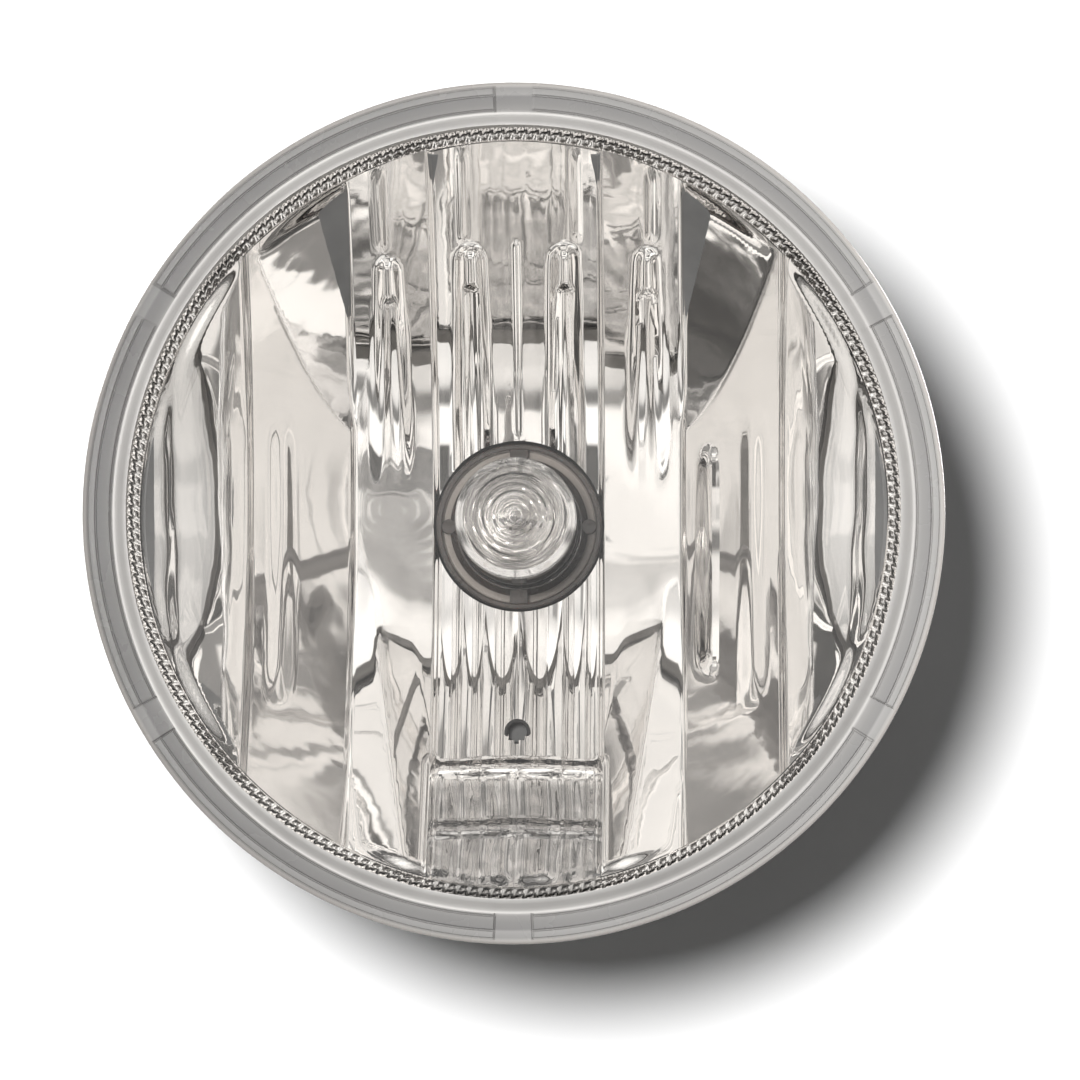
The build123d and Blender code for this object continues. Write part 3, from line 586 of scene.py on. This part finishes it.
def mirror_field(x, z):
    """Depth of the reflector's face behind the crown of the lens."""
    aside = np.abs(x)
    reach = np.full_like(x, CENTRE_REACH)
    focal = np.full_like(x, CENTRE_FOCAL)
    slant = np.zeros_like(x)
    for boundary, middle, share, column_focal, lean in COLUMNS:
        column = middle + share * (aside - middle)
        over = rise(aside, boundary, EDGE)
        slant = slant + (lean * (aside - middle) - slant) * over
        reach = reach + (column - reach) * over
        focal = focal + (column_focal - focal) * over
    depth = VERTEX - reach**2 / (4 * FOCAL) - z**2 / (4 * focal) - slant
    upper, lower = rise(z, 0.0, 2.0), rise(-z, 0.0, 2.0)
    centre = 1.0 - rise(aside, CENTRE_EDGE, EDGE)
    raised = np.zeros_like(x)
    for rib in FINGERS:
        fade = 1.0 if abs(rib[0]) < 10.0 else smooth((z - 3.0) / 22.0)
        raised += upper * fade * finger(x, z, *rib)
    raised += 0.3 * hump(x / 0.45) * rise(z, 12.0, 1.0) * (1 - rise(z, 36.0, 1.0))
    for hair, start in HAIRS:
        raised += 0.28 * hump((x - hair) / 0.6) * rise(z, start, 1.5)
    # Flutes below the bulb, each a shallow rounded strip between two creases
    for left, right in zip(FLUTES[:-1], FLUTES[1:]):
        local = (2 * x - left - right) / (right - left)
        raised += 0.10 * (right - left) * np.clip(1 - local**2, 0, 1) * lower * centre
    # Ladder of ribbed cells, with two bars across and a rail at each side
    cell = rise(-z, -RAIL_TOP + 2.2, 0.8) * centre
    raised += 0.28 * np.abs(np.sin(pi * (x + 0.25 * np.sin(z / 1.9)) / CELL_WIDTH)) * cell
    for bar in BARS:
        peak = bar + 0.35 * (1 - np.clip(aside / CENTRE_EDGE, 0, 1))
        profile = np.clip(1.15 - np.abs((z - peak) / 0.95) ** 3, 0, 1)
        raised += (0.9 * profile + 0.15 * hump((z - peak) / 0.25)) * centre
    rail = hump((aside - CENTRE_EDGE) / 0.85) * rise(-z, -RAIL_TOP, 1.0)
    raised += 0.8 * rail
    # Fan in each upper wing, wide under the rim and narrowing to a point beside the bulb
    fan = 22.0 + 11.6 * np.clip((z - 12.5) / 22.0, 0, 1.2) ** 0.6
    raised -= FAN_LEAN * np.clip(fan - aside, 0, 13) * rise(aside, FAN_EDGE, EDGE)
    # Folds that run down and inwards in the columns beside the centre
    fold = 19.5 - 0.17 * np.clip(-z - 12.0, 0, 40)
    between = rise(aside, CENTRE_EDGE, EDGE) * (1 - rise(aside, FAN_EDGE, EDGE))
    pleat = np.clip(1 - np.abs(aside - fold) / 5.5, 0, 1)
    raised += 1.2 * pleat * between * smooth((-z - 4.0) / 30.0)
    # Ridge beside the bulb, and a ramp on the right that mirrors the dark as a narrow band
    ridge = np.clip(1 - np.abs(aside - RIDGE_X) / 1.6, 0, 1)
    raised += 0.35 * ridge * rise(z, -22.0, 6.0) * (1 - rise(z, 12.0, 6.0))
    tilt = np.clip(x - 23.3, 0, 2.0) * (1 - rise(x, 25.6, 0.5))
    raised += 0.55 * tilt * rise(z, -19.0, 4.0) * (1 - rise(z, 9.0, 4.0))
    # Strips with wavy edges at the outside of the wings
    sway = 0.3 * np.sin(z / 6.5) + 0.08 * np.sin(z / 1.7 + 1.0)
    for strip, half, height in STRIPS:
        raised += height * np.clip(1 - ((aside - strip - sway) / half) ** 2, 0, 1)
    return depth - raised * rise(MIRROR_RADIUS - np.hypot(x, z), 0.8, 1.6)


def mirror_face():
    """Face of the reflector between the bulb's hole and the rim."""
    marks = [0.0, -MIRROR_RADIUS, MIRROR_RADIUS, -HOLE_RADIUS, HOLE_RADIUS, *FLUTES]
    marks += [side * column[0] for column in COLUMNS for side in (-1, 1)]
    xs = spaced(-MIRROR_RADIUS, MIRROR_RADIUS, marks, 0.10, 0.50, 0.32)
    limit = np.sqrt(np.maximum(MIRROR_RADIUS**2 - xs**2, 0.0))
    hole = np.sqrt(np.maximum(HOLE_RADIUS**2 - xs**2, 0.0))
    points, faces = [], []
    for side in (1, -1):
        rows = spaced(0.0, MIRROR_RADIUS, [36.0, 31.0] if side > 0 else [-bar for bar in BARS],
                      0.24, 0.5, 0.1)
        z = side * np.clip(rows[:, None], hole[None, :], limit[None, :])
        x = np.broadcast_to(xs[None, :], z.shape)
        depth = mirror_field(np.array(x), z)
        start = sum(len(p) for p in points)
        points.append(np.stack([x * MM, FRONT + depth * MM, z * MM], axis=2).reshape(-1, 3))
        quads = grid_faces(len(rows), len(xs), start)
        faces += quads if side > 0 else [q[::-1] for q in quads]
    points = np.concatenate(points)
    centres = points[np.array(faces)].mean(axis=1) / MM
    keep = np.hypot(centres[:, 0], centres[:, 2] - PORT_Z) > PORT_RADIUS + 0.1
    faces = [f for f, k in zip(faces, keep) if k]
    return new_object("mirror_face", points, faces, [mirror_coat, mirror_back],
                      smooth_angle=50.0)


def wall_from_edges(thing, chosen, depth):
    """Walls from the chosen open edges, straight back to a depth."""
    edit = bmesh.new()
    edit.from_mesh(thing.data)
    edges = [e for e in edit.edges
             if e.is_boundary and chosen((e.verts[0].co + e.verts[1].co) / 2)]
    made = bmesh.ops.extrude_edge_only(edit, edges=edges)["geom"]
    for item in made:
        if isinstance(item, bmesh.types.BMVert):
            item.co.y = FRONT + depth * MM
    shade(edit, 50.0)
    edit.to_mesh(thing.data)
    edit.free()


hole_wall_end, rim_wall_end = 44.4, 8.4
face = mirror_face()
wall_from_edges(face, lambda p: abs(Vector((p.x, p.z)).length - HOLE_RADIUS * MM) < 0.4 * MM,
                hole_wall_end)
wall_from_edges(face, lambda p: Vector((p.x, p.z)).length > (MIRROR_RADIUS - 0.5) * MM,
                rim_wall_end)

KNURL_COUNT = 210
KNURL_LOW, KNURL_HIGH = 47.95, 49.35
KNURL_SLANT, KNURL_HEIGHT = 2.4, 0.75


def knurl_relief(radius, depth, angles):
    """Slanted beads between the knurl's two radii."""
    share = (radius - KNURL_LOW) / (KNURL_HIGH - KNURL_LOW)
    if not 0 < share < 1:
        return np.zeros(len(angles))
    bead = 0.5 + 0.5 * np.cos(KNURL_COUNT * angles + KNURL_SLANT * (share - 0.5))
    return -KNURL_HEIGHT * hump(2 * share - 1) * (0.12 + 0.88 * bead**1.2)


knurl_depth, lip_depth, band_back = 7.5, 7.2, 10.0
band_radius, mirror_wall = 49.8, 2.2
knurl_profile = [(MIRROR_RADIUS, knurl_depth), (KNURL_LOW - 0.12, lip_depth)]
knurl_profile += [(r, knurl_depth) for r in np.linspace(KNURL_LOW, KNURL_HIGH, 9)]
knurl_profile += [(KNURL_HIGH + 0.1, lip_depth), (band_radius, lip_depth),
                  (band_radius, band_back), (band_radius - 1.0, band_back)]
back_radius = sqrt(4 * FOCAL * (VERTEX + mirror_wall - band_back))
knurl_profile += [(r, VERTEX + mirror_wall - r**2 / (4 * FOCAL))
                  for r in np.linspace(back_radius, HOLE_RADIUS, 20)]
front_runs = 12
band = lathe("knurl_band", knurl_profile[:front_runs + 2], [mirror_coat],
             angles=around(KNURL_COUNT * 7), relief=knurl_relief, closed=False,
             smooth_angle=60.0)
shell = lathe("shell", knurl_profile[front_runs + 1:], [mirror_back],
              angles=around(160), closed=False)
reflector = join("reflector_optic", face, band, shell)
finish_piece(reflector, "lamp", "mirror_coat", "reflector")

port_front = float(mirror_field(np.array([0.0]), np.array([PORT_Z]))[0])
port = lathe("reflector_port", [
    (0.0, port_front + 3.6), (PORT_RADIUS, port_front + 3.6), (PORT_RADIUS, port_front - 0.7),
    (PORT_RADIUS + 0.1, port_front - 0.85), (PORT_RADIUS + 0.3, port_front - 0.85),
    (PORT_RADIUS + 0.45, port_front - 0.7), (PORT_RADIUS + 0.45, port_front + 4.2),
    (0.0, port_front + 4.2),
], [port_plastic], angles=around(48), closed=False, centre=(0.0, PORT_Z))
finish_piece(port, "lamp", "housing_plastic")

# ---- Bulb: glass capsule, coiled filament, leads, stepped stem and lugged collar -----
glass_radius, glass_wall, glass_tip, glass_end = 7.9, 0.9, 12.0, 45.9
tip_centre = glass_tip + glass_radius
ripple_height, ripple_count = 0.018, 8
capsule = arc((0.0, tip_centre), glass_radius, -90, 0, 28)
capsule += [(glass_radius, glass_end), (glass_radius - glass_wall, glass_end)]
for x_part, d_part in arc((0.0, tip_centre), 1.0, 0, -90, 90):
    ripple = glass_radius - glass_wall + ripple_height * sin(ripple_count * 2 * pi * x_part)
    capsule.append((x_part * ripple, tip_centre + (d_part - tip_centre) * ripple))
glass = lathe("bulb_capsule", capsule, [bulb_clear], angles=around(96), closed=False)
finish_piece(glass, "bulb", "bulb_clear", "bulb_glass")

# Cone of fine rings with a small nipple, which the glass mirrors as circles
stem_radius, stem_front, stem_back = 6.6, 36.2, 45.8
ring_pitch, ring_height = 0.72, 0.075
stem_rings = []
for r in np.linspace(0.0, stem_radius, 133):
    ring = ring_height * cos(2 * pi * r / ring_pitch)
    nipple = 0.5 * exp(-(r / 0.9) ** 2)
    stem_rings.append((r, stem_front + 0.62 * r - ring - nipple))
stem_rings += [(6.75, 41.0), (6.8, stem_back), (0.0, stem_back)]
stem = lathe("bulb_stem_mount", stem_rings,
             [bulb_metal], angles=around(96), closed=False, smooth_angle=60.0)
finish_piece(stem, "bulb", "bulb_ceramic", "bulb_stem")


def wire(name, points, radius, material, order=4, sides=3):
    """Round wire along a smooth curve through millimetre points (x, depth, z)."""
    curve = bpy.data.curves.new(name, "CURVE")
    curve.dimensions = "3D"
    curve.bevel_depth = radius * MM
    curve.bevel_resolution = sides
    curve.use_fill_caps = True
    spline = curve.splines.new("NURBS")
    spline.points.add(len(points) - 1)
    for point, (x, depth, z) in zip(spline.points, points):
        point.co = (x * MM, FRONT + depth * MM, z * MM, 1.0)
    spline.order_u = order
    spline.use_endpoint_u = True
    thing = bpy.data.objects.new(name, curve)
    bpy.context.scene.collection.objects.link(thing)
    bpy.context.view_layer.update()
    evaluated = thing.evaluated_get(bpy.context.evaluated_depsgraph_get())
    mesh = bpy.data.meshes.new_from_object(evaluated)
    bpy.data.objects.remove(thing)
    mesh.materials.clear()
    mesh.materials.append(material)
    mesh.name = name
    made = bpy.data.objects.new(name, mesh)
    bpy.context.scene.collection.objects.link(made)
    return made


TURNS, PER_TURN = 13, 12
near_end, far_end = 23.75, 29.75
coil_radius, coil_wire, lead_wire, lead_x = 0.5, 0.12, 0.32, 2.6
coil = [(0.0, near_end, 0.0)]
for step in range(TURNS * PER_TURN + 1):
    turn = 2 * pi * step / PER_TURN
    depth = near_end + 0.2 + (far_end - near_end - 0.4) * step / (TURNS * PER_TURN)
    coil.append((coil_radius * cos(turn), depth, coil_radius * sin(turn)))
coil.append((0.0, far_end, 0.0))
filament = wire("filament_coil", coil, coil_wire, tungsten)
finish_piece(filament, "bulb", "tungsten", "bulb_filament")
leads = join("bulb_lead_wires",
             wire("lead_a", [(-lead_x, 36.4, 0), (-lead_x, 30, 0), (-lead_x, near_end + 1, 0),
                             (-2.3, near_end, 0), (-1.2, near_end, 0), (-0.2, near_end, 0)],
                  lead_wire, tungsten),
             wire("lead_b", [(lead_x, 36.4, 0), (lead_x, 33, 0), (lead_x, far_end + 1, 0),
                             (2.3, far_end, 0), (1.2, far_end, 0), (0.2, far_end, 0)],
                  lead_wire, tungsten))
finish_piece(leads, "bulb", "tungsten", "bulb_leads")

collar_radius, collar_bore, collar_front, collar_end = 10.95, 8.0, 40.6, 46.0
floor_depth = collar_front + 1.6
LUG_HALF, STUD_RADIUS = 1.15, 1.0


def lug(name, angle, shape):
    """Rounded block or stud standing in the collar's recess, at an angle in radians."""
    edit = bmesh.new()
    outline = [edit.verts.new((x * MM, z * MM, 0.0)) for x, z in shape]
    face = edit.faces.new(outline)
    top = bmesh.ops.extrude_face_region(edit, geom=[face])["geom"]
    for vert in (v for v in top if isinstance(v, bmesh.types.BMVert)):
        vert.co.z = -(floor_depth - collar_front - 0.12) * MM
    rounded = [e for e in edit.edges if all(v.co.z < -0.5 * MM for v in e.verts)]
    bmesh.ops.bevel(edit, geom=rounded, offset=0.18 * MM, segments=3, affect="EDGES",
                    profile=0.5)
    bmesh.ops.recalc_face_normals(edit, faces=edit.faces)
    shade(edit, 40.0)
    for vert in edit.verts:
        x, z, lift = vert.co
        vert.co = (x * cos(angle) - z * sin(angle), FRONT + floor_depth * MM + lift,
                   x * sin(angle) + z * cos(angle))
    mesh = bpy.data.meshes.new(name)
    edit.to_mesh(mesh)
    edit.free()
    mesh.materials.append(smoke_plastic)
    thing = bpy.data.objects.new(name, mesh)
    bpy.context.scene.collection.objects.link(thing)
    return thing


collar_profile = [(collar_bore, collar_end), (collar_bore, floor_depth - 0.5),
                  (8.15, floor_depth - 0.7), (8.35, floor_depth - 0.7),
                  (8.6, floor_depth - 0.45), (9.15, floor_depth + 0.15),
                  (9.3, floor_depth + 0.25), (9.95, floor_depth + 0.25),
                  (10.1, floor_depth + 0.1),
                  (10.15, collar_front + 0.2), (10.35, collar_front),
                  (collar_radius - 0.2, collar_front), (collar_radius, collar_front + 0.2),
                  (collar_radius, collar_end)]
ring = lathe("ring", collar_profile, [smoke_plastic, smoke_light],
             bands=[0, 0, 0, 0, 0, 1, 1, 1, 0, 0, 0, 0, 0, 0],
             angles=around(144), smooth_angle=40.0)
block = [(8.3, -LUG_HALF), (10.2, -LUG_HALF - 0.12), (10.2, LUG_HALF + 0.12), (8.3, LUG_HALF)]
disc = [(9.25 + STUD_RADIUS * cos(a), STUD_RADIUS * sin(a)) for a in around(24)]
collar = join("bulb_collar_ring", ring,
              lug("lug_top", pi / 2, block), lug("lug_low", -pi / 2, block),
              lug("stud_right", 0.0, disc), lug("stud_left", pi, disc))
finish_piece(collar, "bulb", "smoke_plastic", "bulb_collar")

# ---- Aiming screw with a real thread, flange and hexagon head ------------------------
LEVER = 45.0
PITCH, SHANK = 1.5, 3.0
HEX_ACROSS, HEX_HEIGHT, FLANGE_HEIGHT = 8.0, 4.5, 1.8
screw_low, screw_high = (corner.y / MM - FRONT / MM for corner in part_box("adjuster_screw"))
thread_front, thread_back = screw_low, screw_high - HEX_HEIGHT - FLANGE_HEIGHT - 8.0
rows = int(ceil((thread_back - thread_front) / PITCH * 10))
thread_length = thread_back - thread_front
thread_depths = [thread_front + thread_length * row / rows for row in range(rows + 1)]
screw_angles = around(40)
rings = []
for depth in thread_depths:
    phase = (depth - thread_front) / PITCH - screw_angles / (2 * pi)
    wave = 1.0 - np.abs(2.0 * (phase % 1.0) - 1.0)
    cut = 0.92 * np.clip(1.25 * wave - 0.1, 0, 1)
    lead_in = np.clip((depth - thread_front) / 1.2, 0, 1)
    run_out = np.clip((thread_back - depth) / 1.0, 0, 1)
    radius = np.minimum(SHANK - cut * run_out, 1.9 + 1.1 * lead_in)
    rings.append(np.stack([radius * MM * np.cos(screw_angles),
                           np.full(40, FRONT + depth * MM),
                           -LEVER * MM + radius * MM * np.sin(screw_angles)], axis=1))
tip = np.full((40, 3), (0.0, FRONT + thread_front * MM, -LEVER * MM))
rings.insert(0, tip)
thread = new_object("thread", np.concatenate(rings), grid_faces(len(rings), 40, closed=True),
                    [FINISHES["zinc_screw"]], smooth_angle=45.0)
head_back = screw_high
flange_face = head_back - HEX_HEIGHT
flange_start = flange_face - FLANGE_HEIGHT
clip_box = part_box("adjuster_clip")
clip_front, clip_back = ((corner.y - FRONT) / MM for corner in clip_box)
shank = lathe("shank", [
    (SHANK, thread_back - 0.05), (SHANK, clip_front - 0.05), (2.3, clip_front - 0.05),
    (2.3, clip_back + 0.05), (SHANK, clip_back + 0.05), (SHANK, flange_start),
    (6.2, flange_start), (6.5, flange_start + 0.3), (6.5, flange_start + 0.9),
    (5.6, flange_face), (3.2, flange_face), (3.2, head_back - 1.2), (0.0, head_back - 1.2),
], [FINISHES["zinc_screw"]], angles=around(64), closed=False,
    centre=(0.0, -LEVER))


def hex_head(name, across_flats, start, end, centre, material):
    """Hexagon with a chamfered, dished rear face."""
    count = 96
    turn = around(count)
    local = (turn + pi / 6) % (pi / 3) - pi / 6
    half = across_flats / 2
    flat = half / np.cos(local)
    sections = [(flat, start), (flat, end - 0.75), (np.minimum(flat, half * 1.04), end - 0.2),
                (np.minimum(flat, half * 0.98), end), (np.full(count, 2.6), end),
                (np.full(count, 2.2), end - 0.7), (np.zeros(count), end - 0.75)]
    made = [np.stack([centre[0] * MM + r * MM * np.cos(turn), np.full(count, FRONT + d * MM),
                      centre[1] * MM + r * MM * np.sin(turn)], axis=1) for r, d in sections]
    thing = new_object(name, np.concatenate(made), grid_faces(len(made), count, closed=True),
                       [material], smooth_angle=22.0)
    return thing


head = hex_head("head", HEX_ACROSS, flange_face - 0.2, head_back, (0.0, -LEVER),
                FINISHES["zinc_screw"])
screw = join("aiming_screw_threaded", thread, shank, head)
set_outward(screw)
finish_piece(screw, "aiming_screw", "zinc_screw", "adjuster_screw")

# ---- Pale floor under the yoke, seen from above; it fades out away from the lamp ------
backdrop_material, tree, output = fresh_material("backdrop")
facing = add(tree, "ShaderNodeNewGeometry").outputs["Backfacing"]
seen = add(tree, "ShaderNodeLightPath").outputs["Is Camera Ray"]
hidden = calc(tree, "LESS_THAN", seen, 0.5)
place = add(tree, "ShaderNodeTexCoord").outputs["Object"]
length = add(tree, "ShaderNodeVectorMath", {0: place}, operation="LENGTH").outputs["Value"]
fade = remap(tree, length, 0.22, 0.45, 0.0, 1.0)
away = calc(tree, "MAXIMUM", facing, hidden)
away = calc(tree, "MAXIMUM", away, fade)
paper = add(tree, "ShaderNodeBsdfDiffuse", {"Color": (0.9, 0.9, 0.9, 1.0)})
gone = add(tree, "ShaderNodeBsdfTransparent")
mixed = add(tree, "ShaderNodeMixShader", {0: away, 1: paper.outputs[0], 2: gone.outputs[0]})
tree.links.new(mixed.outputs[0], output.inputs["Surface"])
reach, plane_y = 2.0, REAR + 0.4 * MM
floor = new_object("backdrop", [(-reach, plane_y, -reach), (reach, plane_y, -reach),
                                (reach, plane_y, reach), (-reach, plane_y, reach)],
                   [(0, 1, 2, 3)], [backdrop_material])

# ---- World: pale for the camera, a studio of soft boxes for reflections --------------
world = bpy.data.worlds.new("studio")
bpy.context.scene.world = world
world.use_nodes = True
sky = world.node_tree
sky.nodes.clear()
direction = add(sky, "ShaderNodeTexCoord").outputs["Generated"]
parts = add(sky, "ShaderNodeSeparateXYZ", {"Vector": direction})
forward = calc(sky, "MULTIPLY", parts.outputs["Y"], -1.0)
turn = calc(sky, "ARCTAN2", parts.outputs["X"], forward)
lift = calc(sky, "ARCSINE", parts.outputs["Z"])


def panel(base, azimuth, elevation, half_width, half_height, edge, value):
    """The studio with one more soft-edged panel; angles in degrees as seen from the lamp."""
    masks = []
    for angle, middle, half in ((turn, azimuth, half_width), (lift, elevation, half_height)):
        away = calc(sky, "ABSOLUTE", calc(sky, "SUBTRACT", angle, radians(middle)))
        masks.append(remap(sky, away, radians(half - edge / 2), radians(half + edge / 2),
                           1.0, 0.0))
    mask = calc(sky, "MULTIPLY", masks[0], masks[1])
    return add(sky, "ShaderNodeMix", {0: mask, 2: base, 3: value}, data_type="FLOAT").outputs[0]


# Azimuth and elevation of the middle, half width and height, soft edge, brightness
PANELS = (
    (0, 0, 24, 36, 8, 1.18),
    (0, -40, 30, 7, 4, 1.5),
    (-33, -14, 9, 34, 8, 1.5),
    (-57, 0, 9, 60, 8, 0.35),
    (-80, 10, 10, 60, 8, 1.2),
    (52, 4, 13, 60, 8, 1.6),
    (31, 10, 5, 30, 4, 0.4),
    (-2, -1.5, 3, 3.5, 3, 0.8),
    (17, -22.5, 20, 9.5, 2, 0.09),
    (-16, -20.5, 12, 7, 2, 0.32),
    (2, 11, 14, 5, 6, 0.25),
    (-20, 10.5, 8, 4.5, 2.5, 0.3),
    (0, -50, 60, 3, 3, 0.25),
    (0, 62, 50, 18, 10, 1.5),
    (0, -66, 70, 12, 8, 1.2),
    (105, 0, 16, 60, 10, 0.85),
    (-105, 0, 16, 60, 10, 0.85),
    (150, 25, 22, 30, 12, 1.0),
    (-150, 25, 22, 30, 12, 1.0),
)
level = remap(sky, lift, radians(-60), radians(60), 0.80, 0.95)
for setup in PANELS:
    level = panel(level, *setup)
# Slightly warm light
tone = add(sky, "ShaderNodeCombineColor", {
    0: level,
    1: calc(sky, "MULTIPLY", level, 0.985),
    2: calc(sky, "MULTIPLY", level, 0.972),
})
path = add(sky, "ShaderNodeLightPath")
studio = add(sky, "ShaderNodeBackground", {"Color": tone.outputs[0], "Strength": 1.0})
pale = add(sky, "ShaderNodeBackground", {"Color": (1.0, 1.0, 1.0, 1.0), "Strength": 0.97})
dim = add(sky, "ShaderNodeBackground", {"Color": (1.0, 0.99, 0.97, 1.0), "Strength": 0.02})
lit = add(sky, "ShaderNodeMixShader", {
    0: path.outputs["Is Diffuse Ray"], 1: studio.outputs[0], 2: dim.outputs[0],
})
shown = add(sky, "ShaderNodeMixShader", {
    0: path.outputs["Is Camera Ray"], 1: lit.outputs[0], 2: pale.outputs[0],
})
add(sky, "ShaderNodeOutputWorld", {"Surface": shown.outputs[0]})

# ---- Lights --------------------------------------------------------------------------
middle = (Vector(cad_box[0]) + Vector(cad_box[1])) / 2


def soft_light(name, place, size, energy, shiny=False):
    """Round area light aimed at the middle of the lamp, hidden from the camera."""
    data = bpy.data.lights.new(name, "AREA")
    data.shape = "DISK"
    data.size = size
    data.energy = energy
    light = bpy.data.objects.new(name, data)
    bpy.context.scene.collection.objects.link(light)
    light.location = Vector(place)
    light.rotation_euler = (middle - Vector(place)).to_track_quat("-Z", "Y").to_euler()
    light.visible_camera = False
    light.visible_glossy = shiny
    return light


soft_light("key", (-0.105, -1.0, 0.06), 0.18, 14.5)
soft_light("fill", (0.25, -1.1, -0.2), 0.6, 0.05)
soft_light("rear_left", (-0.7, 0.55, 0.45), 0.5, 7.0, True)
soft_light("rear_right", (0.7, 0.6, 0.3), 0.5, 6.0, True)
soft_light("side", (0.95, 0.05, 0.35), 0.5, 4.0)

# ---- Camera, a little below the lamp's axis ------------------------------------------
azimuth, elevation = radians(1.0), radians(-2.9)
camera_data = bpy.data.cameras.new("camera")
camera_data.lens = 250.0
camera_data.sensor_width = 36.0
camera = bpy.data.objects.new("camera", camera_data)
bpy.context.scene.collection.objects.link(camera)
lamp_share = 0.80
distance = LENS_RADIUS * MM * 2 / lamp_share * camera_data.lens / camera_data.sensor_width
aim = Vector((3.4 * MM, FRONT + flange_front * MM, -3.6 * MM))
back = Vector((sin(azimuth) * cos(elevation), -cos(azimuth) * cos(elevation), sin(elevation)))
camera.location = aim + back * distance
camera.rotation_euler = (-back).to_track_quat("-Z", "Y").to_euler()
camera_data.clip_end = 20.0
bpy.context.scene.camera = camera
bpy.context.scene.view_settings.view_transform = "Standard"
